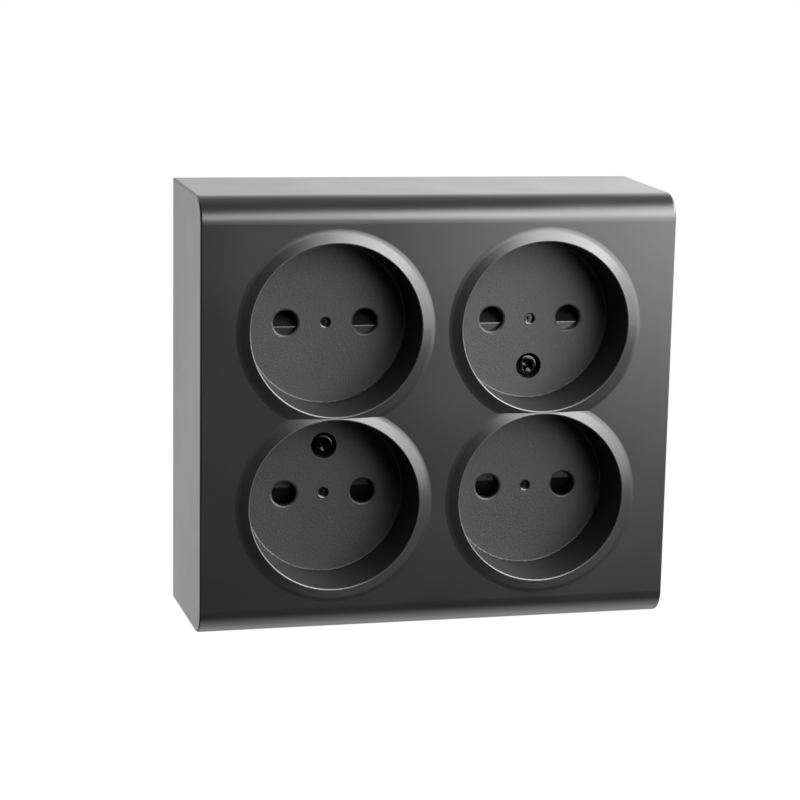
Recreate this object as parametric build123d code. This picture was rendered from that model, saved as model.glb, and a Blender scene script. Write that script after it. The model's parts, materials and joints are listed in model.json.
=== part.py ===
from build123d import *
import math
import os

# A surface mount quad socket, as it hangs on a wall. X is across, Y runs into the wall, Z is up.
# The wall is the plane Y = 0, the front of the socket faces -Y, and the origin is the middle of the back.
# All lengths are in millimetres.

# Cover
cover_width = 113.0  # at the front face
cover_height = 102.0  # at the front face
cover_depth = 39.2  # from the wall to the front face
side_taper = 0.6  # how much further out each side is at the wall
top_taper = 1.0  # how much further out the top and the bottom are at the wall
edge_round = 6.2  # long round of the top and bottom front edges
side_edge_round = 0.45  # the crisp edges of the flat sides
cover_wall = 2.2
front_plate = 2.4
cover_to_wall_gap = 0.3

# Wells, one for each plug
well_pitch_x = 50.0
well_web = 0.7  # left between the rims of an upper and a lower well
well_rim_radius = 20.1
well_floor_radius = 19.2
well_floor_depth = 12.5  # behind the front face
well_wall = 1.8
floor_thickness = 1.5
floor_corner_round = 0.4
collar_height = 1.0  # the rim stands this far out of the front face
collar_width = 2.8
collar_blend = 3.0
rim_land_width = 0.24  # a narrow land slopes in from the collar to each well
rim_land_drop = 0.11

# Pin holes and the moulding mark between them
pin_spacing = 19.0
pin_hole_diameter = 6.0
pin_hole_chamfer = 0.4
pin_hole_chamfer_depth = 0.2
dimple_diameter = 2.3
dimple_depth = 1.0
dimple_taper = 0.15
dimple_chamfer = 0.25
dimple_chamfer_depth = 0.12
nub_diameter = 1.0
nub_height = 0.8
nub_taper = 0.2

# Cover screws, one in the upper right well and one in the lower left well
screw_offset = 11.43  # from the middle of the well, towards the middle of the socket
screw_head_diameter = 5.5
screw_head_height = 2.0
screw_head_sink = 0.75  # from the well's floor down to the top of the head
screw_head_clearance = 0.35
screw_thread_diameter = 3.5
screw_length = 16.0
screw_hole_clearance = 0.15
screw_seat_thickness = 1.6
screw_boss_wall = 1.0
screw_recess_span = 3.1  # across the cross
screw_recess_blade = 0.75
screw_recess_depth = 1.4
screw_recess_point = 0.35  # share of the cross's span and blade that is left at its bottom
screw_recess_narrowing = 0.7
screw_dome_share = 0.45  # round of every screw head, as a share of its height
screw_tip_share = 0.12  # chamfer of every screw tip, as a share of its thread
right_screw_turn_deg = 45.0
left_screw_turn_deg = 20.0

# Threaded brass inserts in the base
insert_diameter = 5.4
insert_length = 8.0
insert_sink = 0.2
insert_clearance = 0.02

# Shutters behind the pin holes
shutter_gap = 0.2  # to the back of the well's floor
shutter_thickness = 5.6
shutter_edge_offset = 1.15  # the ramp's front edge, beyond the middle of the pin hole
shutter_edge_round = 0.4
shutter_ramp_cover = 0.25  # the ramp reaches this far past the pin hole
shutter_travel = 6.2
shutter_cheek_margin = 0.9  # each cheek is this much wider than the pin hole, each side
shutter_land_margin = 0.95  # the land reaches this far past the pin hole
shutter_window_margin = 0.35
shutter_web_bottom = 0.1
shutter_web_height = 2.0
shutter_bar_height = 2.0
shutter_bar_front = 1.0  # the top bar stands back from the shutter's front
spring_room = 9.2  # length of the closed shutter's spring
shutter_side_play = 0.3
shutter_back_play = 0.3
shutter_end_play = 0.4

# Springs
spring_wire = 0.3
spring_radius = 1.25  # middle of the wire
spring_turns = 7
post_half_width = 1.5
post_height = 1.8
post_front_gap = 0.9

# Guides that hold the shutters against the cover
guide_wall = 1.0
guide_back = 1.2
guide_pin_passage = 6.4
guide_notch_wall = 0.8
guide_notch_play = 0.2
ear_offset_z = 4.0
ear_overhang = 2.4
ear_thickness = 1.5
ear_hole_diameter = 2.4
ear_boss_diameter = 4.4
ear_boss_play = 0.2
ear_boss_height = 4.7
ear_pilot_floor = 0.5  # left between a pilot hole and the well's floor
guide_screw_diameter = 1.9
guide_screw_head_diameter = 4.0
guide_screw_head_height = 1.3
guide_screw_length = 5.4
guide_screw_play = 0.05

# Contacts and bars
sheet_thickness = 0.6
clip_width = 6.0
clip_base_half = 3.3
clip_throat_half = 2.1
clip_mouth_half = 3.1
clip_throat_back = 2.0  # from the mouth down to the throat
clip_shoulder = 2.6  # straight part of each leaf above the base
clip_mouth_gap = 1.3  # from the shutter guide back to the mouth
bar_thickness = 1.0
bar_width = 5.0
bar_seat = 4.4  # the bar's back, from the wall
bar_link_offset = 13.0  # the cross link's middle, beyond the outer contacts
bar_end = 3.5  # the bar runs on this far past the last contact
rivet_diameter = 2.6
rivet_head_diameter = 4.2
rivet_head_height = 0.8
rivet_tail_diameter = 3.8
rivet_tail_height = 0.7
rivet_play = 0.02
bar_screw_z = 9.0
bar_screw_diameter = 2.6
bar_screw_head_diameter = 4.6
bar_screw_head_height = 1.5
bar_screw_length = 4.0
bar_screw_tip_room = 0.2
bar_screw_play = 0.05

# Terminals
terminal_x = 7.5
terminal_width = 7.6
terminal_height = 8.0
terminal_reach = 11.0
terminal_tab_width = 6.0
terminal_bore = 4.2
terminal_bore_rise = 3.6  # from the tab up to the bore's middle
terminal_corner_round = 0.6
terminal_spigot = 2.8
terminal_screw_diameter = 3.5
terminal_screw_head_diameter = 5.4
terminal_screw_head_height = 2.2
terminal_screw_stand = 1.2
terminal_screw_play = 0.02
terminal_cradle_wall = 1.0
terminal_cradle_height = 5.0
terminal_cradle_play = 0.15
barrier_thickness = 1.6
barrier_height = 16.0
barrier_half_length = 9.0

# Base
base_plate_thickness = 2.4
base_to_cover_gap = 0.45
base_rim_height = 8.0
base_rim_wall = 1.6
base_corner_round = 2.0
cell_wall = 1.0
cell_play = 0.3
cell_top_gap = 1.0  # from the cells up to the shutter guides
fixing_spacing_x = 90.0
fixing_spacing_z = 72.0
fixing_slot_width = 4.2
fixing_slot_length = 8.0
fixing_pad_rise = 0.8
fixing_pad_margin = 2.0
cable_hole_diameter = 18.0
cable_hole_drop = 20.0
cable_collar_wall = 1.4
cable_collar_height = 2.0

# How far a cutter runs past what it cuts, and how far a joined piece is let into its carrier
overrun = 1.0
let_in = 0.1
rim_land_overrun = 0.02

# Places worked out from the sizes above
well_pitch_z = 2 * well_rim_radius + well_web
front_y = -cover_depth
floor_y = front_y + well_floor_depth
floor_back_y = floor_y + floor_thickness
shutter_front_y = floor_back_y + shutter_gap
shutter_back_y = shutter_front_y + shutter_thickness
guide_front_y = shutter_back_y + shutter_back_play
guide_back_y = guide_front_y + guide_back
screw_seat_y = floor_y + screw_head_sink + screw_head_height
screw_boss_back_y = screw_seat_y + screw_seat_thickness
bar_back_y = -bar_seat
bar_front_y = bar_back_y - bar_thickness
clip_mouth_y = guide_back_y + clip_mouth_gap
plate_front_y = -base_plate_thickness

pin_x = pin_spacing / 2
pin_hole_radius = pin_hole_diameter / 2
cheek_half = pin_hole_radius + shutter_cheek_margin
shutter_half = pin_x + cheek_half
cheek_inner = pin_x - cheek_half
shutter_bottom = -(pin_hole_radius + shutter_land_margin)
ramp_top = pin_hole_radius + shutter_ramp_cover
web_top = shutter_web_bottom + shutter_web_height
post_bottom = web_top + shutter_end_play
post_top = post_bottom + post_height
bar_bottom = post_top + spring_room
shutter_top = bar_bottom + shutter_bar_height
screw_recess_radius = screw_head_diameter / 2 + screw_head_clearance
screw_boss_radius = screw_recess_radius + screw_boss_wall
screw_hole_radius = screw_thread_diameter / 2 + screw_hole_clearance
guide_half = shutter_half + shutter_side_play + guide_wall
ear_x = guide_half + ear_boss_play + ear_boss_diameter / 2

# Each well: its name, its middle, and whether it is turned half round
wells = [
    ("upper_left", -well_pitch_x / 2, well_pitch_z / 2, 0),
    ("upper_right", well_pitch_x / 2, well_pitch_z / 2, 0),
    ("lower_left", -well_pitch_x / 2, -well_pitch_z / 2, 180),
    ("lower_right", well_pitch_x / 2, -well_pitch_z / 2, 180),
]
screws = [
    ("right", well_pitch_x / 2, well_pitch_z / 2 - screw_offset, right_screw_turn_deg),
    ("left", -well_pitch_x / 2, -well_pitch_z / 2 + screw_offset, left_screw_turn_deg),
]

# The left hole of each well is live and the right hole is neutral
live_columns = [-well_pitch_x / 2 - pin_x, well_pitch_x / 2 - pin_x]
neutral_columns = [-well_pitch_x / 2 + pin_x, well_pitch_x / 2 + pin_x]
poles = [("live", live_columns, 1), ("neutral", neutral_columns, -1)]


def block(x0, x1, y0, y1, z0, z1):
    size = Box(x1 - x0, y1 - y0, z1 - z0)
    return Pos((x0 + x1) / 2, (y0 + y1) / 2, (z0 + z1) / 2) * size


def rod_y(radius, x, z, y0, y1):
    return Pos(x, (y0 + y1) / 2, z) * Rot(90, 0, 0) * Cylinder(radius, y1 - y0)


def cone_y(front_radius, back_radius, x, z, y0, y1):
    return Pos(x, (y0 + y1) / 2, z) * Rot(90, 0, 0) * Cone(back_radius, front_radius, y1 - y0)


def place(well, thing):
    name, x, z, turn = well
    return Pos(x, 0, z) * Rot(0, turn, 0) * thing


def save(thing, node):
    thing.label = node
    export_step(thing, f"parts/{node}.step")


def cross_recess(span, blade, depth, y, turn):
    """The hollow of a cross-head screw, narrowing towards its bottom."""
    hollow = None
    for angle in (turn, turn + 90):
        mouth = Rectangle(span, blade)
        bottom = Pos(0, 0, -depth) * Rectangle(span * screw_recess_point, blade * screw_recess_narrowing)
        arm = Rot(0, 0, angle) * loft([bottom, mouth], ruled=True)
        hollow = arm if hollow is None else hollow + arm
    return Pos(0, y, 0) * Rot(90, 0, 0) * hollow


def pan_screw(head_diameter, head_height, thread_diameter, length, head_y, turn):
    """A pan-head screw along Y with its head towards the front and its seat at head_y."""
    dome = head_height * screw_dome_share
    head = rod_y(head_diameter / 2, 0, 0, head_y - head_height, head_y)
    head = fillet(head.edges().group_by(Axis.Y)[0], dome)
    shank = rod_y(thread_diameter / 2, 0, 0, head_y, head_y + length)
    shank = chamfer(shank.edges().group_by(Axis.Y)[-1], thread_diameter * screw_tip_share)
    span = head_diameter * screw_recess_span / screw_head_diameter
    blade = head_diameter * screw_recess_blade / screw_head_diameter
    depth = head_height * screw_recess_depth / screw_head_height
    return head + shank - cross_recess(span, blade, depth, head_y - head_height, turn)


def shell_block(inset, y0, y1):
    """The cover's tapered block, moved in by inset, between two planes of Y."""
    faces = []
    for y in (y1, y0):
        out = (y - front_y) / cover_depth
        width = cover_width + 2 * side_taper * out - 2 * inset
        height = cover_height + 2 * top_taper * out - 2 * inset
        faces.append(Pos(0, y, 0) * Rot(90, 0, 0) * Rectangle(width, height))
    body = loft(faces, ruled=True)
    long_edges = body.edges().filter_by(Axis.X).group_by(Axis.Y)[0]
    return fillet(long_edges, edge_round - inset)


def outer_block():
    body = shell_block(0, front_y, -cover_to_wall_gap)
    sides = body.faces().sort_by(Axis.X)
    edges = [e for side in (sides[0], sides[-1]) for e in side.edges()]
    crisp = [e for e in edges if e.center().Y < -cover_to_wall_gap - 0.01]
    return fillet(crisp, side_edge_round)


def collar():
    """The raised ring round a well, sloping down to the front face in a soft curve."""
    outer = well_rim_radius + collar_width
    slope = math.atan2(collar_height, collar_width)
    reach = collar_blend * math.tan(slope / 2)
    foot = (outer + reach, 0)
    start = (outer - reach * math.cos(slope), reach * math.sin(slope))
    centre = (outer + reach, collar_blend)
    middle = (centre[0] - collar_blend * math.sin(slope / 2), centre[1] - collar_blend * math.cos(slope / 2))
    line = Line((well_rim_radius, collar_height), start) + ThreePointArc(start, middle, foot)
    inside = well_rim_radius - overrun
    rest = Polyline(foot, (foot[0], -overrun), (inside, -overrun), (inside, collar_height),
                    (well_rim_radius, collar_height))
    profile = Plane.XZ * make_face(line + rest)
    return Pos(0, front_y, 0) * Rot(90, 0, 0) * revolve(profile, Axis.Z)


def well_hollow():
    """What a well leaves free: a tapered bore with a rounded foot and a narrow sloping land at the rim."""
    slope = collar_height / collar_width
    depth = well_floor_depth + collar_height
    land_top = depth - rim_land_width * slope
    past = rim_land_overrun
    outer = (well_rim_radius + rim_land_width + past, land_top + past * rim_land_drop / rim_land_width)
    top = depth + overrun
    outline = Polyline(outer, (outer[0], top), (0, top), (0, 0), (well_floor_radius, 0),
                       (well_rim_radius, land_top - rim_land_drop), close=True)
    profile = make_face(outline)
    foot = profile.vertices().sort_by_distance((well_floor_radius, 0, 0))[0]
    profile = fillet(foot, floor_corner_round)
    return Pos(0, floor_y, 0) * Rot(90, 0, 0) * revolve(Plane.XZ * profile, Axis.Z)


def pin_hole(x):
    bore = rod_y(pin_hole_radius, x, 0, floor_y - overrun, floor_back_y + overrun)
    mouth = cone_y(pin_hole_radius + pin_hole_chamfer, pin_hole_radius, x, 0, floor_y,
                   floor_y + pin_hole_chamfer_depth)
    return bore + mouth


def dimple():
    radius = dimple_diameter / 2
    lip_radius = radius - dimple_taper * dimple_chamfer_depth / dimple_depth
    dish = cone_y(radius, radius - dimple_taper, 0, 0, floor_y, floor_y + dimple_depth)
    dish += cone_y(radius + dimple_chamfer, lip_radius, 0, 0, floor_y, floor_y + dimple_chamfer_depth)
    nub = cone_y(nub_diameter / 2 - nub_taper, nub_diameter / 2, 0, 0, floor_y + dimple_depth - nub_height,
                 floor_y + dimple_depth)
    return dish - nub


def front_cover():
    body = outer_block() - shell_block(cover_wall, front_y + front_plate, overrun)
    for well in wells:
        tube = cone_y(well_rim_radius + well_wall, well_floor_radius + well_wall, 0, 0,
                      front_y + front_plate / 2, floor_back_y)
        body += place(well, collar() + tube)
    for well in wells:
        for side in (-1, 1):
            boss = rod_y(ear_boss_diameter / 2, side * ear_x, ear_offset_z,
                         floor_back_y - floor_thickness / 2, floor_back_y + ear_boss_height)
            body += place(well, boss)
    for name, x, z, turn in screws:
        body += rod_y(screw_boss_radius, x, z, floor_back_y - floor_thickness / 2, screw_boss_back_y)
    for well in wells:
        body -= place(well, well_hollow())
        body -= place(well, pin_hole(-pin_x) + pin_hole(pin_x) + dimple())
        for side in (-1, 1):
            pilot = rod_y(guide_screw_diameter / 2 + guide_screw_play, side * ear_x, ear_offset_z,
                          floor_back_y + ear_pilot_floor, floor_back_y + ear_boss_height + overrun)
            body -= place(well, pilot)
    for name, x, z, turn in screws:
        body -= rod_y(screw_recess_radius, x, z, floor_y - overrun, screw_seat_y)
        body -= rod_y(screw_hole_radius, x, z, screw_seat_y - overrun, screw_boss_back_y + overrun)
    return body


def shutter_cheek(x):
    """One cheek: a flat land that closes the pin hole, and the ramp that a pin pushes on."""
    depth = ramp_top + shutter_edge_offset
    front = shutter_front_y
    outline = Polyline(
        (front, shutter_bottom),
        (front, -shutter_edge_offset),
        (front + depth, ramp_top),
        (shutter_back_y, ramp_top),
        (shutter_back_y, shutter_bottom),
        close=True,
    )
    face = Plane.YZ * make_face(outline)
    cheek = Pos(x - cheek_half, 0, 0) * extrude(face, 2 * cheek_half)
    lip = cheek.edges().filter_by(Axis.X).sort_by_distance((x, front, -shutter_edge_offset))[0]
    return fillet(lip, shutter_edge_round)


def shutter():
    depth = ramp_top + shutter_edge_offset
    plate_y = shutter_front_y + depth
    half_window = pin_hole_radius + shutter_window_margin
    window_top = ramp_top + shutter_travel + shutter_window_margin
    body = block(-shutter_half, shutter_half, plate_y, shutter_back_y, shutter_bottom, shutter_top)
    body += block(-shutter_half, shutter_half, shutter_front_y + shutter_bar_front, shutter_back_y,
                  bar_bottom, shutter_top)
    for side in (-1, 1):
        body += shutter_cheek(side * pin_x)
        body -= block(side * pin_x - half_window, side * pin_x + half_window, plate_y - overrun,
                      shutter_back_y + overrun, ramp_top, window_top)
    slot_half = post_half_width + shutter_end_play
    body -= block(-slot_half, slot_half, shutter_front_y, shutter_back_y + overrun, web_top, bar_bottom)
    body -= block(-cheek_inner, cheek_inner, shutter_front_y, shutter_back_y + overrun,
                  shutter_bottom - overrun, shutter_web_bottom)
    return body


def shutter_guide():
    """The tray behind a shutter. Its front edges lie on the back of the well's floor."""
    bottom = shutter_bottom - shutter_travel - shutter_end_play
    top = shutter_top + shutter_end_play
    tray = block(-guide_half, guide_half, floor_back_y, guide_back_y, bottom - guide_wall, top + guide_wall)
    inner_half = guide_half - guide_wall
    tray -= block(-inner_half, inner_half, floor_back_y - overrun, guide_front_y, bottom, top)
    notch_half = screw_boss_radius + guide_notch_play
    notch_top = -screw_offset + screw_boss_radius + guide_notch_play
    tray += block(-notch_half - guide_notch_wall, notch_half + guide_notch_wall, floor_back_y, guide_back_y,
                  bottom - guide_wall, notch_top + guide_notch_wall)
    tray -= block(-notch_half, notch_half, floor_back_y - overrun, guide_back_y + overrun,
                  bottom - 2 * guide_wall, notch_top)
    ear_y = floor_back_y + ear_boss_height
    for side in (-1, 1):
        tray -= rod_y(guide_pin_passage / 2, side * pin_x, 0, guide_front_y - overrun, guide_back_y + overrun)
        ear_end = ear_x + ear_overhang
        inner, outer = sorted((side * (guide_half - guide_wall / 2), side * ear_end))
        tray += block(inner, outer, ear_y, ear_y + ear_thickness, ear_offset_z - ear_overhang,
                      ear_offset_z + ear_overhang)
        tray -= rod_y(ear_hole_diameter / 2, side * ear_x, ear_offset_z, ear_y - overrun,
                      ear_y + ear_thickness + overrun)
    post_front = floor_back_y + post_front_gap
    tray += block(-post_half_width, post_half_width, post_front, guide_front_y + let_in,
                  post_bottom, post_top)
    return tray


def shutter_spring():
    path = Helix(pitch=(spring_room - spring_wire) / spring_turns, height=spring_room - spring_wire,
                 radius=spring_radius)
    wire = sweep(Plane(path @ 0, z_dir=path % 0) * Circle(spring_wire / 2), path)
    middle_y = (floor_back_y + guide_front_y) / 2
    return Pos(0, middle_y, post_top + spring_wire / 2) * wire


def guide_screws():
    seat = floor_back_y + ear_boss_height + ear_thickness
    group = []
    for side in (-1, 1):
        screw = pan_screw(guide_screw_head_diameter, guide_screw_head_height, guide_screw_diameter,
                          guide_screw_length, 0, 0)
        group.append(Pos(side * ear_x, seat, ear_offset_z) * Rot(180, 0, 0) * screw)
    return group


def strip(points, thickness):
    """A flat outline of even thickness along a line of points."""
    corners = [Vector(*point) for point in points]
    runs = [(b - a).normalized() for a, b in zip(corners, corners[1:])]
    left = []
    right = []
    for corner, before, after in zip(corners, runs[:1] + runs, runs + runs[-1:]):
        along = (before + after).normalized()
        across = Vector(-along.Y, along.X) * (thickness / 2 / along.dot(after))
        left.append(corner + across)
        right.append(corner - across)
    return make_face(Polyline(*left, *reversed(right), close=True))


def contact_clip(x, z):
    """Two sprung leaves, bent from one strip, that grip a pin between them."""
    base = bar_front_y - sheet_thickness / 2
    right = [
        (clip_base_half, base),
        (clip_base_half, base - clip_shoulder),
        (clip_throat_half, clip_mouth_y + clip_throat_back),
        (clip_mouth_half, clip_mouth_y),
    ]
    left = [(-px, py) for px, py in right[::-1]]
    clip = Pos(0, 0, -clip_width / 2) * extrude(strip(left + right, sheet_thickness), clip_width)
    clip -= rod_y(rivet_diameter / 2 + rivet_play, 0, 0, bar_front_y - 2 * sheet_thickness,
                  bar_front_y + overrun)
    return Pos(x, 0, z) * clip


def contact_rivet(x, z):
    head_back = bar_front_y - sheet_thickness
    rivet = rod_y(rivet_diameter / 2, 0, 0, head_back - rivet_head_height, bar_back_y + rivet_tail_height)
    head = rod_y(rivet_head_diameter / 2, 0, 0, head_back - rivet_head_height, head_back)
    head = fillet(head.edges().group_by(Axis.Y)[0], rivet_head_height * 0.5)
    tail = rod_y(rivet_tail_diameter / 2, 0, 0, bar_back_y, bar_back_y + rivet_tail_height)
    return Pos(x, 0, z) * (rivet + head + tail)


def comb(columns, up, y0, y1):
    """An upright strip through each column of contacts, a cross link and a tab for the terminal."""
    half = bar_width / 2
    row = well_pitch_z / 2
    link = up * (row + bar_link_offset)
    body = block(min(columns) - half, max(columns) + half, y0, y1, link - half, link + half)
    for x in columns:
        low, high = sorted((-up * (row + bar_end), link))
        body += block(x - half, x + half, y0, y1, low, high)
    near = min(columns, key=abs)
    low, high = sorted((near, math.copysign(terminal_x - terminal_width / 2, near)))
    return body + block(low, high, y0, y1, -terminal_tab_width / 2, terminal_tab_width / 2)


def busbar(columns, up):
    body = comb(columns, up, bar_front_y, bar_back_y)
    holes = [(x, up * bar_screw_z, bar_screw_diameter / 2 + bar_screw_play) for x in columns]
    rivet_hole = rivet_diameter / 2 + rivet_play
    holes += [(x, z, rivet_hole) for x in columns for z in (-well_pitch_z / 2, well_pitch_z / 2)]
    side = math.copysign(1, min(columns, key=abs))
    holes.append((side * terminal_x, 0, terminal_spigot / 2 + terminal_screw_play))
    for x, z, radius in holes:
        body -= rod_y(radius, x, z, bar_front_y - overrun, bar_back_y + overrun)
    return body


def bar_screws(columns, up):
    screw = pan_screw(bar_screw_head_diameter, bar_screw_head_height, bar_screw_diameter, bar_screw_length,
                      bar_front_y, 0)
    return [Pos(x, 0, up * bar_screw_z) * screw for x in columns]


def terminal(side):
    """A brass pillar terminal that stands on its bar's tab, with a bore for the wire."""
    half = terminal_width / 2
    front = bar_front_y - terminal_reach
    body = block(-half, half, front, bar_front_y, -terminal_height / 2, terminal_height / 2)
    body = fillet(body.edges().filter_by(Axis.Y), terminal_corner_round)
    body += rod_y(terminal_spigot / 2, 0, 0, bar_front_y, bar_back_y)
    wire_y = bar_front_y - terminal_bore_rise
    body -= Pos(0, wire_y, 0) * Cylinder(terminal_bore / 2, terminal_height + overrun)
    body -= rod_y(terminal_screw_diameter / 2 + terminal_screw_play, 0, 0, front - overrun, wire_y)
    return Pos(side * terminal_x, 0, 0) * body


def terminal_screw(side):
    front = bar_front_y - terminal_reach
    seat = front - terminal_screw_stand
    tip = bar_front_y - terminal_bore_rise - terminal_bore / 2
    screw = pan_screw(terminal_screw_head_diameter, terminal_screw_head_height, terminal_screw_diameter,
                      tip - seat, seat, 45)
    return Pos(side * terminal_x, 0, 0) * screw


def screw_insert(x, z):
    """A threaded brass sleeve at the top of a base pillar."""
    top = screw_boss_back_y + insert_sink
    sleeve = rod_y(insert_diameter / 2, x, z, top, top + insert_length)
    return sleeve - rod_y(screw_thread_diameter / 2 + insert_clearance, x, z, top - overrun,
                          top + insert_length + overrun)


def cell(x, z):
    """Walls round one contact, open above and below where its bar runs through."""
    half_x = clip_base_half + sheet_thickness / 2 + cell_play
    half_z = clip_width / 2 + cell_play
    top = guide_back_y + cell_top_gap
    walls = block(-half_x - cell_wall, half_x + cell_wall, top, plate_front_y + let_in,
                  -half_z - cell_wall, half_z + cell_wall)
    walls -= block(-half_x, half_x, top - overrun, plate_front_y, -half_z, half_z)
    slot = bar_width / 2 + cell_play
    walls -= block(-slot, slot, top - overrun, plate_front_y, -half_z - 2 * cell_wall, half_z + 2 * cell_wall)
    return Pos(x, 0, z) * walls


def bar_rib(columns, up):
    """The ridges that a bar lies on, with room for the rivets' tails."""
    rib = comb(columns, up, bar_back_y, plate_front_y + let_in)
    for x in columns:
        for z in (-well_pitch_z / 2, well_pitch_z / 2):
            rib -= rod_y(rivet_tail_diameter / 2 + cell_play, x, z, bar_back_y - overrun,
                         plate_front_y + overrun)
    return rib


def terminal_cradle(side):
    half = terminal_width / 2 + terminal_cradle_play
    height = bar_back_y - terminal_cradle_height
    low = -terminal_height / 2
    walls = None
    for edge in (-half - terminal_cradle_wall, half):
        wall = block(side * terminal_x + edge, side * terminal_x + edge + terminal_cradle_wall, height,
                     plate_front_y + let_in, low, -low)
        walls = wall if walls is None else walls + wall
    tab = terminal_tab_width / 2 + terminal_cradle_play
    inner, outer = sorted((side * (terminal_x - terminal_width), side * (terminal_x + terminal_width)))
    return walls - block(inner, outer, height - overrun, plate_front_y, -tab, tab)


def fixing_slot(x, z, y0, y1, half):
    run = fixing_slot_length / 2 - fixing_slot_width / 2
    slot = block(x - run, x + run, y0, y1, z - half, z + half)
    return slot + rod_y(half, x - run, z, y0, y1) + rod_y(half, x + run, z, y0, y1)


def base_tray():
    """The flat back with a rim that the cover slides over."""
    rim_out = 1 - base_rim_height / cover_depth
    width = cover_width + 2 * (side_taper * rim_out - cover_wall - base_to_cover_gap)
    height = cover_height + 2 * (top_taper * rim_out - cover_wall - base_to_cover_gap)
    inner_round = base_corner_round / 2
    outline = RectangleRounded(width, height, base_corner_round)
    hollow = RectangleRounded(width - 2 * base_rim_wall, height - 2 * base_rim_wall, inner_round)
    tray = extrude(outline, base_rim_height)
    tray -= Pos(0, 0, base_plate_thickness) * extrude(hollow, base_rim_height)
    return Rot(90, 0, 0) * tray


def base_plate():
    body = base_tray()
    into_plate = plate_front_y + let_in
    for name, columns, up in poles:
        body += bar_rib(columns, up)
        for x in columns:
            for z in (-well_pitch_z / 2, well_pitch_z / 2):
                body += cell(x, z)
    body += terminal_cradle(-1) + terminal_cradle(1)
    body += block(-barrier_thickness / 2, barrier_thickness / 2, plate_front_y - barrier_height, into_plate,
                  -barrier_half_length, barrier_half_length)
    pads = [(sx * fixing_spacing_x / 2, sz * fixing_spacing_z / 2) for sx in (-1, 1) for sz in (-1, 1)]
    for x, z in pads:
        body += fixing_slot(x, z, plate_front_y - fixing_pad_rise, into_plate,
                            fixing_slot_width / 2 + fixing_pad_margin)
    cable_radius = cable_hole_diameter / 2
    collar_front = plate_front_y - cable_collar_height
    body += rod_y(cable_radius + cable_collar_wall, 0, -cable_hole_drop, collar_front, into_plate)
    for name, x, z, turn in screws:
        body += rod_y(screw_boss_radius, x, z, screw_boss_back_y, into_plate)
    for name, x, z, turn in screws:
        top = screw_boss_back_y
        body -= rod_y(insert_diameter / 2 + insert_clearance, x, z, top - overrun,
                      top + insert_sink + insert_length)
        body -= rod_y(screw_hole_radius, x, z, top - overrun, screw_seat_y + screw_length + overrun)
    for x, z in pads:
        body -= fixing_slot(x, z, plate_front_y - fixing_pad_rise - overrun, overrun, fixing_slot_width / 2)
    body -= rod_y(cable_radius, 0, -cable_hole_drop, collar_front - overrun, overrun)
    for name, columns, up in poles:
        for x in columns:
            body -= rod_y(bar_screw_diameter / 2 + bar_screw_play, x, up * bar_screw_z, bar_back_y - overrun,
                          bar_front_y + bar_screw_length + bar_screw_tip_room)
    return body


os.makedirs("parts", exist_ok=True)
save(front_cover(), "front_cover")
save(base_plate(), "base_plate")

for well in wells:
    name = well[0]
    save(place(well, shutter()), f"shutter_{name}")
    save(place(well, shutter_guide()), f"shutter_guide_{name}")
    save(place(well, shutter_spring()), f"shutter_spring_{name}")
    pair = [place(well, screw) for screw in guide_screws()]
    save(Compound(children=pair), f"guide_screws_{name}")

for name, x, z, turn in screws:
    cover_screw = pan_screw(screw_head_diameter, screw_head_height, screw_thread_diameter, screw_length,
                            screw_seat_y, turn)
    save(Pos(x, 0, z) * cover_screw, f"cover_screw_{name}")
    save(screw_insert(x, z), f"screw_insert_{name}")

row_names = [("lower", -well_pitch_z / 2), ("upper", well_pitch_z / 2)]
for pole, columns, up in poles:
    save(busbar(columns, up), f"{pole}_busbar")
    for side_name, x in zip(("left", "right"), columns):
        for row_name, z in row_names:
            save(contact_clip(x, z), f"{pole}_contact_{row_name}_{side_name}")
    rivets = [contact_rivet(x, z) for x in columns for row_name, z in row_names]
    save(Compound(children=rivets), f"{pole}_contact_rivets")
    save(Compound(children=bar_screws(columns, up)), f"{pole}_busbar_screws")
    side = math.copysign(1, min(columns, key=abs))
    save(terminal(side), f"{pole}_terminal")
    save(terminal_screw(side), f"{pole}_terminal_screw")
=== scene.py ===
import json
import math

import bpy
from mathutils import Matrix, Vector


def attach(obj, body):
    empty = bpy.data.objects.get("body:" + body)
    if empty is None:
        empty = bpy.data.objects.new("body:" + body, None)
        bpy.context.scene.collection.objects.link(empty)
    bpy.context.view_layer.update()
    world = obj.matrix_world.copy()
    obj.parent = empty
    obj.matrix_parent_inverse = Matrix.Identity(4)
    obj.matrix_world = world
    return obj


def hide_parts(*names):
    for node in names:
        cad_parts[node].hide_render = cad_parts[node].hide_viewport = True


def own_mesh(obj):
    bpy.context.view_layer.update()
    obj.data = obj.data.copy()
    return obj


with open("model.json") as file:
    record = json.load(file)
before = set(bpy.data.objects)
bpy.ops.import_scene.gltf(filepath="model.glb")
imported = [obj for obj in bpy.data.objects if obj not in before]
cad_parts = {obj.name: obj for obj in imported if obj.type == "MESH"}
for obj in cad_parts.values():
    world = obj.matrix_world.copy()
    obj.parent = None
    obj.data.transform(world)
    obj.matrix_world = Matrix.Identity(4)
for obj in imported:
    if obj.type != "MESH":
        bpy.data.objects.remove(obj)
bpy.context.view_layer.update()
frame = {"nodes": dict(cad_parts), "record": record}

mm = 0.001
wellX, wellZ = 25.0, 20.45  # the middle of each well, in mm either side of the socket's own
print("frame loaded:", len(frame["nodes"]), "nodes")


# Small helpers

def hexColour(code):  # an sRGB hex value as the linear colour that a shader takes
    parts = [int(code[i:i + 2], 16) / 255 for i in (1, 3, 5)]
    return tuple(p / 12.92 if p <= 0.04045 else ((p + 0.055) / 1.055) ** 2.4 for p in parts) + (1.0,)


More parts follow.
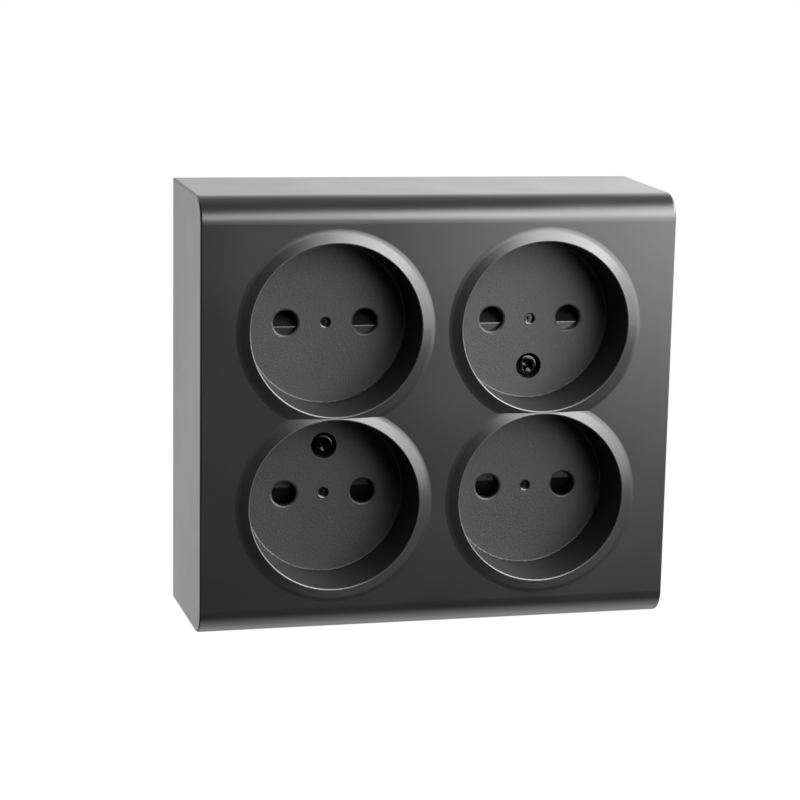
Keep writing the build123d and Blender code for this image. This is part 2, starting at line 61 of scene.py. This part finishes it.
def addNode(tree, kind, values=None, links=None, **settings):
    node = tree.nodes.new(kind)
    for name, value in settings.items():
        setattr(node, name, value)
    for socket, value in (values or {}).items():
        node.inputs[socket].default_value = value
    for socket, source in (links or {}).items():
        tree.links.new(source, node.inputs[socket])
    return node


def newMaterial(name):
    material = bpy.data.materials.new(name)
    material.use_nodes = True
    tree = material.node_tree
    tree.nodes.clear()
    shader = addNode(tree, "ShaderNodeBsdfPrincipled")
    addNode(tree, "ShaderNodeOutputMaterial", links={"Surface": shader.outputs["BSDF"]})
    place = addNode(tree, "ShaderNodeTexCoord").outputs["Object"]
    return material, tree, shader, place


def spread(tree, noise, start, low, high):  # the middle of a noise, from start to 1 - start, over low to high
    limits = {"From Min": start, "From Max": 1 - start, "To Min": low, "To Max": high}
    return addNode(tree, "ShaderNodeMapRange", values=limits, links={"Value": noise}).outputs[0]


def startPiece(name):  # what an operator has just added becomes a named piece
    piece = bpy.context.object
    piece.name = piece.data.name = name
    return piece


def clearSelection():
    if bpy.context.object and bpy.context.object.mode != "OBJECT":
        bpy.ops.object.mode_set(mode="OBJECT")
    bpy.ops.object.select_all(action="DESELECT")


def pick(piece, kind, test):  # selects faces by their middle and normal, edges by their middle and direction
    bpy.ops.object.mode_set(mode="EDIT")
    bpy.ops.mesh.select_mode(type=kind)
    bpy.ops.mesh.select_all(action="DESELECT")
    bpy.ops.object.mode_set(mode="OBJECT")
    mesh = piece.data
    if kind == "FACE":
        for face in mesh.polygons:
            face.select = test(face.center, face.normal)
    else:
        for edge in mesh.edges:
            a, b = (mesh.vertices[i].co for i in edge.vertices)
            edge.select = test((a + b) / 2, (b - a).normalized())
    bpy.ops.object.mode_set(mode="EDIT")


def applyAll(piece):
    clearSelection()
    piece.select_set(True)
    bpy.context.view_layer.objects.active = piece
    for modifier in list(piece.modifiers):
        bpy.ops.object.modifier_apply(modifier=modifier.name)


def outwards(piece):
    clearSelection()
    piece.select_set(True)
    bpy.context.view_layer.objects.active = piece
    bpy.ops.object.mode_set(mode="EDIT")
    bpy.ops.mesh.select_all(action="SELECT")
    bpy.ops.mesh.remove_doubles(threshold=0.001 * mm)
    bpy.ops.mesh.normals_make_consistent(inside=False)
    bpy.ops.object.mode_set(mode="OBJECT")


# Materials

coverLook = {
    "colour": "#191919",
    "roughness": 0.3,
    "floorRoughness": 0.52,
    "wellRadius": 20.25 * mm,
    "floorFront": -26.9 * mm,
    "floorFade": 0.3 * mm,
    "grain": 0.16 * mm,  # a fine moulded satin
    "grainHeight": 0.004 * mm,
    "sparkGrain": 0.32 * mm,  # the coarser spark-eroded floors
    "sparkHeight": 0.085 * mm,
    "markRadius": 1.3 * mm,  # the polished gate mark in the middle of each well
    "markRoughness": 0.16,
    "rimRadius": 20.42 * mm,  # the narrow land round each mouth, painted paler as a painted highlight on the rim's edge
    "rimFront": -39.95 * mm,
    "rimPaler": 2.6,
    "flowScale": 45.0,  # how many slow clouds of tone to a metre
    "flowTone": 0.05,
    "speckTone": 0.07,
    "flowRoughness": 0.02,
    "ior": 1.54,
    "satinStrength": 0.5,
    "sparkStrength": 0.6,
}


def makeCoverPlastic(look):
    # Polycarbonate blend, through-coloured anthracite, from a mould with a fine satin etch: a soft broad
    # gloss outside, and a matter, grainy floor in each well where the mould was spark-eroded.
    material, tree, shader, place = newMaterial("polycarbonateAnthracite")
    shader.inputs["IOR"].default_value = look["ior"]
    axes = addNode(tree, "ShaderNodeSeparateXYZ", links={"Vector": place}).outputs
    foldX = addNode(tree, "ShaderNodeMath", operation="ABSOLUTE", links={0: axes["X"]}).outputs[0]
    foldZ = addNode(tree, "ShaderNodeMath", operation="ABSOLUTE", links={0: axes["Z"]}).outputs[0]
    folded = addNode(tree, "ShaderNodeCombineXYZ", links={"X": foldX, "Z": foldZ}).outputs[0]
    reach = addNode(tree, "ShaderNodeVectorMath", operation="DISTANCE", links={0: folded},
                    values={1: (wellX * mm, 0, wellZ * mm)}).outputs["Value"]
    inWell = addNode(tree, "ShaderNodeMath", operation="LESS_THAN", values={1: look["wellRadius"]},
                     links={0: reach}).outputs[0]
    fade = {"From Min": look["floorFront"] - look["floorFade"], "From Max": look["floorFront"]}
    deep = addNode(tree, "ShaderNodeMapRange", interpolation_type="SMOOTHSTEP", values=fade,
                   links={"Value": axes["Y"]}).outputs[0]
    wellFloor = addNode(tree, "ShaderNodeMath", operation="MULTIPLY", links={0: inWell, 1: deep}).outputs[0]
    outsideMark = addNode(tree, "ShaderNodeMath", operation="GREATER_THAN", values={1: look["markRadius"]},
                          links={0: reach}).outputs[0]
    floor = addNode(tree, "ShaderNodeMath", operation="MULTIPLY",
                    links={0: wellFloor, 1: outsideMark}).outputs[0]

    fine = addNode(tree, "ShaderNodeTexNoise", values={"Scale": 1 / look["grain"], "Detail": 2.0},
                   links={"Vector": place}).outputs[0]
    spark = addNode(tree, "ShaderNodeTexNoise", links={"Vector": place},
                    values={"Scale": 1 / look["sparkGrain"], "Detail": 3.0, "Roughness": 0.6}).outputs[0]
    flow = addNode(tree, "ShaderNodeTexNoise", values={"Scale": look["flowScale"], "Detail": 3.0},
                   links={"Vector": place}).outputs[0]

    tone = spread(tree, flow, 0.3, 1 - look["flowTone"], 1 + look["flowTone"])
    speck = spread(tree, spark, 0.35, 1 - look["speckTone"], 1 + look["speckTone"])
    speckle = addNode(tree, "ShaderNodeMix", values={"A": 1.0},
                      links={"Factor": floor, "B": speck}).outputs[0]
    shade = addNode(tree, "ShaderNodeMath", operation="MULTIPLY", links={0: tone, 1: speckle}).outputs[0]
    # Painted highlight: the land round each mouth is tinted paler where the rim's edge would catch the light.
    nearMouth = addNode(tree, "ShaderNodeMath", operation="LESS_THAN", values={1: look["rimRadius"]},
                        links={0: reach}).outputs[0]
    proud = addNode(tree, "ShaderNodeMath", operation="LESS_THAN", values={1: look["rimFront"]},
                    links={0: axes["Y"]}).outputs[0]
    onRim = addNode(tree, "ShaderNodeMath", operation="MULTIPLY", links={0: nearMouth, 1: proud}).outputs[0]
    rimHighlight = addNode(tree, "ShaderNodeMapRange", values={"To Min": 1.0, "To Max": look["rimPaler"]},
                     links={"Value": onRim}).outputs[0]
    toneWithRimHighlight = addNode(tree, "ShaderNodeMath", operation="MULTIPLY", links={0: shade, 1: rimHighlight}).outputs[0]
    tint = addNode(tree, "ShaderNodeVectorMath", operation="SCALE", values={0: hexColour(look["colour"])[:3]},
                   links={"Scale": toneWithRimHighlight}).outputs[0]
    tree.links.new(tint, shader.inputs["Base Color"])

    smooth = addNode(tree, "ShaderNodeMapRange",
                     values={"To Min": look["markRoughness"], "To Max": look["roughness"]},
                     links={"Value": outsideMark}).outputs[0]
    base = addNode(tree, "ShaderNodeMix", values={"B": look["floorRoughness"]},
                   links={"Factor": floor, "A": smooth}).outputs[0]
    drift = spread(tree, flow, 0.3, -look["flowRoughness"], look["flowRoughness"])
    rough = addNode(tree, "ShaderNodeMath", operation="ADD", links={0: base, 1: drift}).outputs[0]
    tree.links.new(rough, shader.inputs["Roughness"])

    satin = addNode(tree, "ShaderNodeBump", links={"Height": fine},
                    values={"Strength": look["satinStrength"], "Distance": look["grainHeight"]}).outputs[0]
    pitted = addNode(tree, "ShaderNodeMath", operation="MULTIPLY", links={0: spark, 1: floor}).outputs[0]
    grainy = addNode(tree, "ShaderNodeBump", links={"Height": pitted, "Normal": satin},
                     values={"Strength": look["sparkStrength"], "Distance": look["sparkHeight"]}).outputs[0]
    tree.links.new(grainy, shader.inputs["Normal"])
    return material


plainPlasticLook = {"flowScale": 70.0, "flowTone": 0.08, "flowRoughness": 0.04, "ior": 1.53, "strength": 0.5}
metalLook = {"cloudScale": 220.0, "smoother": 0.8, "rougher": 1.25, "strength": 0.4}


def makePlainPlastic(name, colour, roughness, grain, height):
    look = plainPlasticLook
    material, tree, shader, place = newMaterial(name)
    shader.inputs["IOR"].default_value = look["ior"]
    noise = addNode(tree, "ShaderNodeTexNoise", values={"Scale": 1 / grain, "Detail": 2.0},
                    links={"Vector": place}).outputs[0]
    flow = addNode(tree, "ShaderNodeTexNoise", values={"Scale": look["flowScale"], "Detail": 3.0},
                   links={"Vector": place}).outputs[0]
    tone = spread(tree, flow, 0.3, 1 - look["flowTone"], 1 + look["flowTone"])
    tint = addNode(tree, "ShaderNodeVectorMath", operation="SCALE", values={0: hexColour(colour)[:3]},
                   links={"Scale": tone}).outputs[0]
    tree.links.new(tint, shader.inputs["Base Color"])
    rough = spread(tree, flow, 0.3, roughness - look["flowRoughness"], roughness + look["flowRoughness"])
    tree.links.new(rough, shader.inputs["Roughness"])
    bump = addNode(tree, "ShaderNodeBump", values={"Strength": look["strength"], "Distance": height},
                   links={"Height": noise}).outputs[0]
    tree.links.new(bump, shader.inputs["Normal"])
    return material


def makeMetal(name, dark, light, roughness, grain, height, stretch=(1, 1, 1)):
    material, tree, shader, place = newMaterial(name)
    shader.inputs["Metallic"].default_value = 1.0
    drawn = addNode(tree, "ShaderNodeMapping", values={"Scale": stretch}, links={"Vector": place}).outputs[0]
    marks = addNode(tree, "ShaderNodeTexNoise", values={"Scale": 1 / grain, "Detail": 3.0, "Roughness": 0.6},
                    links={"Vector": drawn}).outputs[0]
    cloud = addNode(tree, "ShaderNodeTexNoise", values={"Scale": metalLook["cloudScale"], "Detail": 2.0},
                    links={"Vector": place}).outputs[0]
    ramp = addNode(tree, "ShaderNodeValToRGB", links={"Fac": cloud})
    ramp.color_ramp.elements[0].position = 0.35
    ramp.color_ramp.elements[1].position = 0.65
    ramp.color_ramp.elements[0].color = hexColour(dark)
    ramp.color_ramp.elements[1].color = hexColour(light)
    tree.links.new(ramp.outputs["Color"], shader.inputs["Base Color"])
    rough = spread(tree, marks, 0.35, roughness * metalLook["smoother"], roughness * metalLook["rougher"])
    tree.links.new(rough, shader.inputs["Roughness"])
    bump = addNode(tree, "ShaderNodeBump", values={"Strength": metalLook["strength"], "Distance": height},
                   links={"Height": marks}).outputs[0]
    tree.links.new(bump, shader.inputs["Normal"])
    return material


coverPlastic = makeCoverPlastic(coverLook)
# Acetal, moulded smooth so that the pins slide on it: as dark as the cover and a little shinier.
shutterPlastic = makePlainPlastic("acetalShutterGrey", "#19191A", 0.27, 0.2 * mm, 0.003 * mm)
# Glass-filled polyamide, dull with a fine grain from the fibres at its surface.
guidePlastic = makePlainPlastic("polyamideGuideGrey", "#2A2B2D", 0.55, 0.12 * mm, 0.01 * mm)
basePlastic = makePlainPlastic("polyamideBaseBlack", "#26272A", 0.6, 0.18 * mm, 0.015 * mm)
# Steel with a black zinc coat, which keeps a hard gloss on the head.
blackSteel = makeMetal("steelBlackZinc", "#252526", "#363637", 0.15, 0.1 * mm, 0.002 * mm)
# Bright zinc plate on steel: blue-white with a faint cloudiness.
zincSteel = makeMetal("steelBrightZinc", "#A9AEB4", "#C3C7CB", 0.26, 0.12 * mm, 0.004 * mm)
# Drawn and tempered spring wire, darker from its heat treatment.
springSteel = makeMetal("springWireDrawn", "#7B7B7C", "#98989A", 0.3, 0.08 * mm, 0.003 * mm)
# Stamped and turned brass with a dull rolled skin.
brass = makeMetal("brassStamped", "#B08F4A", "#C9A964", 0.3, 0.1 * mm, 0.004 * mm, (1, 1, 0.15))
# Rolled phosphor bronze strip, redder than the brass.
contactBronze = makeMetal("phosphorBronzeStrip", "#A87450", "#C08B63", 0.28, 0.08 * mm, 0.003 * mm,
                          (1, 1, 0.1))

slotMaterials = {
    "cover_plastic": coverPlastic,
    "base_plastic": basePlastic,
    "shutter_plastic": shutterPlastic,
    "guide_plastic": guidePlastic,
    "black_steel": blackSteel,
    "zinc_steel": zincSteel,
    "spring_steel": springSteel,
    "brass": brass,
    "contact_bronze": contactBronze,
}
for part in frame["record"]["subparts"]:
    node = frame["nodes"][part["node"]]
    node.data.materials.clear()
    node.data.materials.append(slotMaterials[part["material_slot"]])
print("materials ready:", len(slotMaterials))


# Screws, each with a domed head, a cross recess and a real thread, modelled upright and then laid in place

coverScrewLook = {"head": 2.75, "height": 2.0, "dome": 0.9, "thread": 1.75, "core": 1.42, "pitch": 0.6,
                  "length": 16.0, "span": 3.1, "blade": 0.75, "depth": 1.45, "steps": 28, "turn": 45}
guideScrewLook = {"head": 2.0, "height": 1.3, "dome": 0.55, "thread": 0.95, "core": 0.68, "pitch": 0.7,
                  "length": 5.4, "span": 2.3, "blade": 0.55, "depth": 0.9, "steps": 20, "turn": 15}
barScrewLook = {"head": 2.3, "height": 1.5, "dome": 0.65, "thread": 1.3, "core": 1.0, "pitch": 0.6,
                "length": 4.0, "span": 2.6, "blade": 0.62, "depth": 1.05, "steps": 20, "turn": 30}
terminalScrewLook = {"head": 2.7, "height": 2.2, "dome": 0.8, "thread": 1.75, "core": 1.42, "pitch": 0.6,
                     "length": 6.5, "span": 3.0, "blade": 0.75, "depth": 1.5, "steps": 24, "turn": 45}
# Thread: root to tip are shares of one pitch, tipTaper of the radius, and intoHead is in mm. Recess: all are
# shares of the arm, its blade or its depth, except proud, in mm. Edge: mm and degrees.
threadForm = {"root": 0.16, "flank": 0.28, "crest": 0.12, "tip": 0.5, "tipTaper": 0.86, "intoHead": 0.15}
recessForm = {"floorSpan": 0.34, "floorBlade": 0.62, "corner": 0.2, "coneTip": 0.1, "coneMouth": 0.85,
              "coneDepth": 1.08, "coneMiddle": 0.54, "proud": 0.01}
edgeForm = {"under": 0.08, "soft": 0.045, "softAngle": 38, "smoothAngle": 32}


def makeShank(look):
    rise = look["thread"] - look["core"]
    root, flank, crest = threadForm["root"], threadForm["flank"], threadForm["crest"]
    profile = [(0, root), (rise, flank), (0, crest), (-rise, flank), (0, root)]
    clearSelection()
    start = (look["core"] * mm, 0, -(look["length"] + look["pitch"]) * mm)
    bpy.ops.mesh.primitive_plane_add(size=0.1 * mm, location=start)
    shank = startPiece("shank")
    bpy.ops.object.transform_apply(location=True)
    bpy.ops.object.mode_set(mode="EDIT")
    bpy.ops.mesh.merge(type="CENTER")
    for outward, share in profile:
        bpy.ops.mesh.extrude_region_move(
            TRANSFORM_OT_translate={"value": (outward * mm, 0, share * look["pitch"] * mm)})
    bpy.ops.object.mode_set(mode="OBJECT")
    thread = shank.modifiers.new("thread", "SCREW")
    thread.screw_offset = look["pitch"] * mm
    thread.iterations = math.ceil(look["length"] / look["pitch"]) + 2
    thread.steps = thread.render_steps = look["steps"]
    thread.use_merge_vertices = True
    thread.merge_threshold = 0.001 * mm
    applyAll(shank)
    for height, side in ((-look["length"], -1), (threadForm["intoHead"], 1)):
        bpy.ops.object.mode_set(mode="EDIT")
        bpy.ops.mesh.select_all(action="SELECT")
        bpy.ops.mesh.bisect(plane_co=(0, 0, height * mm), plane_no=(0, 0, side), use_fill=True,
                            clear_outer=True)
        bpy.ops.object.mode_set(mode="OBJECT")
    taper = threadForm["tipTaper"]
    tipStart = -(look["length"] - threadForm["tip"] * look["pitch"]) * mm
    pick(shank, "FACE", lambda at, normal: at.z < tipStart)
    bpy.ops.transform.resize(value=(taper, taper, 1), center_override=(0, 0, 0))
    bpy.ops.object.mode_set(mode="OBJECT")
    outwards(shank)
    return shank


def makeRecessArm(look, quarter):
    clearSelection()
    bpy.ops.mesh.primitive_cube_add(size=1, location=(0, 0, 0))
    arm = startPiece("recessArm")
    arm.scale = (look["span"] * mm, look["blade"] * mm, look["depth"] * mm)
    arm.location.z = (look["height"] - look["depth"] / 2 + recessForm["proud"]) * mm
    bpy.ops.object.transform_apply(location=True, scale=True)
    pick(arm, "FACE", lambda at, normal: normal.z < -0.9)
    bpy.ops.transform.resize(value=(recessForm["floorSpan"], recessForm["floorBlade"], 1))
    bpy.ops.object.mode_set(mode="OBJECT")
    pick(arm, "EDGE", lambda at, along: abs(along.z) > 0.4)
    bpy.ops.mesh.bevel(offset=look["blade"] * recessForm["corner"] * mm, segments=3, affect="EDGES")
    bpy.ops.object.mode_set(mode="OBJECT")
    arm.data.transform(Matrix.Rotation(math.radians(look["turn"] + quarter), 4, "Z"))
    return arm


def cutWith(piece, cutter, operation="DIFFERENCE"):
    cut = piece.modifiers.new("cut", "BOOLEAN")
    cut.operation = operation
    cut.solver = "EXACT"
    cut.object = cutter
    applyAll(piece)
    bpy.data.objects.remove(cutter)


def makeScrew(name, look, material):
    form = recessForm
    clearSelection()
    bpy.ops.mesh.primitive_cylinder_add(vertices=72, radius=look["head"] * mm, depth=look["height"] * mm,
                                        location=(0, 0, look["height"] / 2 * mm))
    head = startPiece(name)
    bpy.ops.object.transform_apply(location=True)
    pick(head, "EDGE", lambda at, along: at.z > (look["height"] - 0.001) * mm)
    bpy.ops.mesh.bevel(offset=look["dome"] * mm, segments=9, affect="EDGES")
    bpy.ops.object.mode_set(mode="OBJECT")
    pick(head, "EDGE", lambda at, along: at.z < 0.001 * mm and abs(along.z) < 0.1)
    bpy.ops.mesh.bevel(offset=edgeForm["under"] * mm, segments=2, affect="EDGES")
    bpy.ops.object.mode_set(mode="OBJECT")
    for quarter in (0, 90):
        cutWith(head, makeRecessArm(look, quarter))
    clearSelection()
    coneZ = look["height"] - look["depth"] * form["coneMiddle"] + form["proud"]
    bpy.ops.mesh.primitive_cone_add(vertices=24, radius1=form["coneTip"] * look["blade"] * mm,
                                    radius2=form["coneMouth"] * look["blade"] * mm,
                                    depth=look["depth"] * form["coneDepth"] * mm,
                                    location=(0, 0, coneZ * mm))
    centre = startPiece("recessCentre")
    bpy.ops.object.transform_apply(location=True)
    cutWith(head, centre)
    soft = head.modifiers.new("soft", "BEVEL")
    soft.width = edgeForm["soft"] * mm
    soft.segments = 2
    soft.limit_method = "ANGLE"
    soft.angle_limit = math.radians(edgeForm["softAngle"])
    applyAll(head)
    cutWith(head, makeShank(look), "UNION")
    outwards(head)
    bpy.ops.object.shade_smooth_by_angle(angle=math.radians(edgeForm["smoothAngle"]))
    head.data.materials.clear()
    head.data.materials.append(material)
    return head


def copyPiece(piece, name):
    twin = piece.copy()
    twin.data = piece.data.copy()
    twin.name = twin.data.name = name
    bpy.context.scene.collection.objects.link(twin)
    return twin


def layScrew(piece, seat, towards, turn=0):  # seat in mm; towards is +1 for a head that faces into the wall
    face = Matrix.Rotation(math.radians(-90 * towards), 4, "X")
    spin = Matrix.Rotation(math.radians(turn), 4, "Z")
    piece.data.transform(Matrix.Translation(Vector(seat) * mm) @ face @ spin)
    piece.data.update()


def joinPieces(name, pieces):
    clearSelection()
    for piece in pieces:
        piece.select_set(True)
    bpy.context.view_layer.objects.active = pieces[0]
    bpy.ops.object.join()
    pieces[0].name = pieces[0].data.name = name
    return pieces[0]


wells = {"upper_left": (-wellX, wellZ, 1), "upper_right": (wellX, wellZ, 1),
         "lower_left": (-wellX, -wellZ, -1), "lower_right": (wellX, -wellZ, -1)}

# Seats in mm: how far from the wall each head sits, and how far from the middle or from its well
coverScrewSeat = {"y": -23.95, "z": 9.02, "leftTurn": -27}
guideScrewSeat = {"y": -19.0, "besideWell": 17.05, "beyondWell": 4.0, "turn": 40}
barScrewSeat = {"y": -5.4, "z": 9.0, "live": (-34.5, 15.5), "neutral": (-15.5, 34.5)}
terminalScrewSeat = {"y": -17.6, "live": 7.5, "neutral": -7.5}

coverScrew = makeScrew("coverScrew", coverScrewLook, blackSteel)
for side, across, turn in (("right", 1, 0), ("left", -1, coverScrewSeat["leftTurn"])):
    screw = copyPiece(coverScrew, "visual_cover_screw_" + side)
    layScrew(screw, (across * wellX, coverScrewSeat["y"], across * coverScrewSeat["z"]), -1, turn)
    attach(screw, "socket_body")
    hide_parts("cover_screw_" + side)
bpy.data.objects.remove(coverScrew)

guideScrew = makeScrew("guideScrew", guideScrewLook, zincSteel)
for well, (x, z, up) in wells.items():
    pair = []
    for side in (-1, 1):
        one = copyPiece(guideScrew, "guideScrewCopy")
        seatX = x + side * guideScrewSeat["besideWell"]
        seatZ = z + up * guideScrewSeat["beyondWell"]
        layScrew(one, (seatX, guideScrewSeat["y"], seatZ), 1, guideScrewSeat["turn"] * side * up + x)
        pair.append(one)
    both = joinPieces("visual_guide_screws_" + well, pair)
    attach(both, "socket_body")
    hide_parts("guide_screws_" + well)
bpy.data.objects.remove(guideScrew)

barScrew = makeScrew("barScrew", barScrewLook, zincSteel)
terminalScrew = makeScrew("terminalScrew", terminalScrewLook, zincSteel)
for pole, up in (("live", 1), ("neutral", -1)):
    pair = []
    for x in barScrewSeat[pole]:
        one = copyPiece(barScrew, "barScrewCopy")
        layScrew(one, (x, barScrewSeat["y"], up * barScrewSeat["z"]), -1, x)
        pair.append(one)
    both = joinPieces("visual_" + pole + "_busbar_screws", pair)
    screw = copyPiece(terminalScrew, "visual_" + pole + "_terminal_screw")
    layScrew(screw, (terminalScrewSeat[pole], terminalScrewSeat["y"], 0), -1, 0)
    for piece, node in ((both, pole + "_busbar_screws"), (screw, pole + "_terminal_screw")):
        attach(piece, "socket_body")
        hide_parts(node)
bpy.data.objects.remove(barScrew)
bpy.data.objects.remove(terminalScrew)
print("screws ready")


# Shutter springs: round wire, wound seven times

springLook = {"wire": 0.15, "coil": 1.25, "turns": 7, "length": 9.2, "steps": 32, "foot": 4.3, "travel": 6.2,
              "middleY": -22.15}


def makeSpring(look):
    clearSelection()
    bpy.ops.mesh.primitive_circle_add(vertices=12, radius=look["wire"] * mm, rotation=(math.pi / 2, 0, 0),
                                      location=(look["coil"] * mm, 0, look["wire"] * mm))
    spring = startPiece("spring")
    bpy.ops.object.transform_apply(location=True, rotation=True)
    wind = spring.modifiers.new("wind", "SCREW")
    wind.iterations = look["turns"]
    wind.screw_offset = (look["length"] - 2 * look["wire"]) / look["turns"] * mm
    wind.steps = wind.render_steps = look["steps"]
    applyAll(spring)
    bpy.ops.object.mode_set(mode="EDIT")
    bpy.ops.mesh.select_all(action="SELECT")
    bpy.ops.mesh.fill_holes(sides=0)
    bpy.ops.object.mode_set(mode="OBJECT")
    outwards(spring)
    bpy.ops.object.shade_smooth_by_angle(angle=math.radians(40))
    spring.data.materials.clear()
    spring.data.materials.append(springSteel)
    return spring


spring = makeSpring(springLook)
for well, (x, z, up) in wells.items():
    piece = copyPiece(spring, "visual_shutter_spring_" + well)
    foot = z + up * springLook["foot"]
    turnOver = Matrix.Rotation(math.pi if up < 0 else 0, 4, "Y")
    piece.data.transform(Matrix.Translation(Vector((x, springLook["middleY"], foot)) * mm) @ turnOver)
    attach(piece, "socket_body")
    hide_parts("shutter_spring_" + well)
    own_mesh(piece)
bpy.data.objects.remove(spring)
print("springs ready")


# The camera stands where the photograph's does: front left, a little above the middle

cameraView = {
    "place": (-134.99 * mm, -544.51 * mm, 102.98 * mm),
    "turnDegrees": (79.2193, -1.0786, -13.7155),
    "lens": 102.774,
}
cameraData = bpy.data.cameras.new("studioCamera")
cameraData.sensor_width = 36
cameraData.lens = cameraView["lens"]
cameraData.clip_start = 0.05
cameraData.clip_end = 50
camera = bpy.data.objects.new("studioCamera", cameraData)
camera.location = cameraView["place"]
camera.rotation_euler = [math.radians(a) for a in cameraView["turnDegrees"]]
bpy.context.scene.collection.objects.link(camera)
bpy.context.scene.camera = camera

# Lights: a large softbox to the front right, with a bright band and a low one in the same direction, and a
# smaller one high at the side, in a room with soft glows behind, below and at the left. Angles are in
# degrees: azimuth 0 is in front, 90 to the right and 180 behind. A radiance of 1 is white.

softboxes = {
    "softboxWide": {"azimuth": 42, "elevation": 23, "distance": 0.42, "across": 52, "high": 60,
                    "radiance": 5.8},
    "softboxMiddle": {"azimuth": 35, "elevation": 28, "distance": 0.85, "across": 65, "high": 24,
                      "radiance": 7.3},
    "softboxLow": {"azimuth": 35, "elevation": 1, "distance": 0.85, "across": 18, "high": 14,
                   "radiance": 3.5},
    "softboxSide": {"azimuth": 70, "elevation": 37, "distance": 0.5, "across": 36, "high": 32,
                    "radiance": 16.0},
}
softboxAim = (0, -0.03, 0)  # in metres
glowCore = 0.25  # the share of a glow's half width that is at full brightness
studioGlows = [  # azimuth, elevation, half width and brightness of each soft white area round the object
    (-140, 10, 50, 0.94),
    (140, 10, 50, 1.67),
    (180, 55, 50, 0.56),
    (-70, 0, 42, 0.25),
    (180, -40, 50, 0.77),
    (90, -40, 50, 0.68),
    (0, -90, 44, 1.5),
]


def compass(azimuth, elevation):
    a, e = math.radians(azimuth), math.radians(elevation)
    return Vector((math.sin(a) * math.cos(e), -math.cos(a) * math.cos(e), math.sin(e)))


def addSoftbox(name, box):
    back = compass(box["azimuth"], box["elevation"])
    data = bpy.data.lights.new(name, "AREA")
    data.shape = "RECTANGLE"
    data.size = 2 * box["distance"] * math.tan(math.radians(box["across"] / 2))
    data.size_y = 2 * box["distance"] * math.tan(math.radians(box["high"] / 2))
    data.energy = math.pi * data.size * data.size_y * box["radiance"]
    lamp = bpy.data.objects.new(name, data)
    lamp.location = Vector(softboxAim) + back * box["distance"]
    lamp.rotation_mode = "QUATERNION"
    lamp.rotation_quaternion = back.to_track_quat("Z", "Y")
    lamp.visible_camera = False
    bpy.context.scene.collection.objects.link(lamp)


for boxName, box in softboxes.items():
    addSoftbox(boxName, box)

world = bpy.data.worlds.new("studioWorld")
bpy.context.scene.world = world
world.use_nodes = True
sky = world.node_tree
sky.nodes.clear()
direction = addNode(sky, "ShaderNodeTexCoord").outputs["Generated"]
total = None
for azimuth, elevation, width, brightness in studioGlows:
    facing = addNode(sky, "ShaderNodeVectorMath", operation="DOT_PRODUCT",
                     values={1: compass(azimuth, elevation)}, links={0: direction}).outputs["Value"]
    edge = math.cos(math.radians(width))
    core = math.cos(math.radians(width * glowCore))
    glow = addNode(sky, "ShaderNodeMapRange", interpolation_type="SMOOTHSTEP",
                   values={"From Min": edge, "From Max": core, "To Max": brightness},
                   links={"Value": facing}).outputs[0]
    if total is None:
        total = glow
    else:
        total = addNode(sky, "ShaderNodeMath", operation="ADD", links={0: total, 1: glow}).outputs[0]
path = addNode(sky, "ShaderNodeLightPath").outputs
seen = addNode(sky, "ShaderNodeMix", values={"B": 1.0},
               links={"Factor": path["Is Camera Ray"], "A": total}).outputs[0]
backdrop = addNode(sky, "ShaderNodeBackground", values={"Color": (1, 1, 1, 1)}, links={"Strength": seen})
addNode(sky, "ShaderNodeOutputWorld", links={"Surface": backdrop.outputs[0]})

# A plain pale floor, well below the object, which hangs in the air as it would on a wall
studioFloor = {"drop": 0.34, "radius": 0.6, "colour": "#F4F4F2", "roughness": 0.8, "white": 1.15,
               "share": 0.8}
clearSelection()
bpy.ops.mesh.primitive_circle_add(vertices=96, radius=studioFloor["radius"], fill_type="NGON",
                                  location=(0, 0, -studioFloor["drop"]))
floorPiece = startPiece("studioFloor")
floorMaterial, floorTree, floorShader, floorPlace = newMaterial("paintedFloorPale")
floorShader.inputs["Base Color"].default_value = hexColour(studioFloor["colour"])
floorShader.inputs["Roughness"].default_value = studioFloor["roughness"]
floorPath = addNode(floorTree, "ShaderNodeLightPath").outputs
floorWhite = addNode(floorTree, "ShaderNodeEmission", values={"Strength": studioFloor["white"]})
floorSeen = addNode(floorTree, "ShaderNodeMath", operation="MULTIPLY", values={1: studioFloor["share"]},
                    links={0: floorPath["Is Camera Ray"]}).outputs[0]
floorMix = addNode(floorTree, "ShaderNodeMixShader",
                   links={0: floorSeen, 1: floorShader.outputs[0], 2: floorWhite.outputs[0]})
floorOut = next(n for n in floorTree.nodes if n.type == "OUTPUT_MATERIAL")
floorTree.links.new(floorMix.outputs[0], floorOut.inputs["Surface"])
floorPiece.data.materials.append(floorMaterial)
floorPiece.visible_glossy = floorPiece.visible_diffuse = False  # a glow stands for it in reflections

view = bpy.context.scene.view_settings
view.view_transform = "Standard"
print("studio ready")
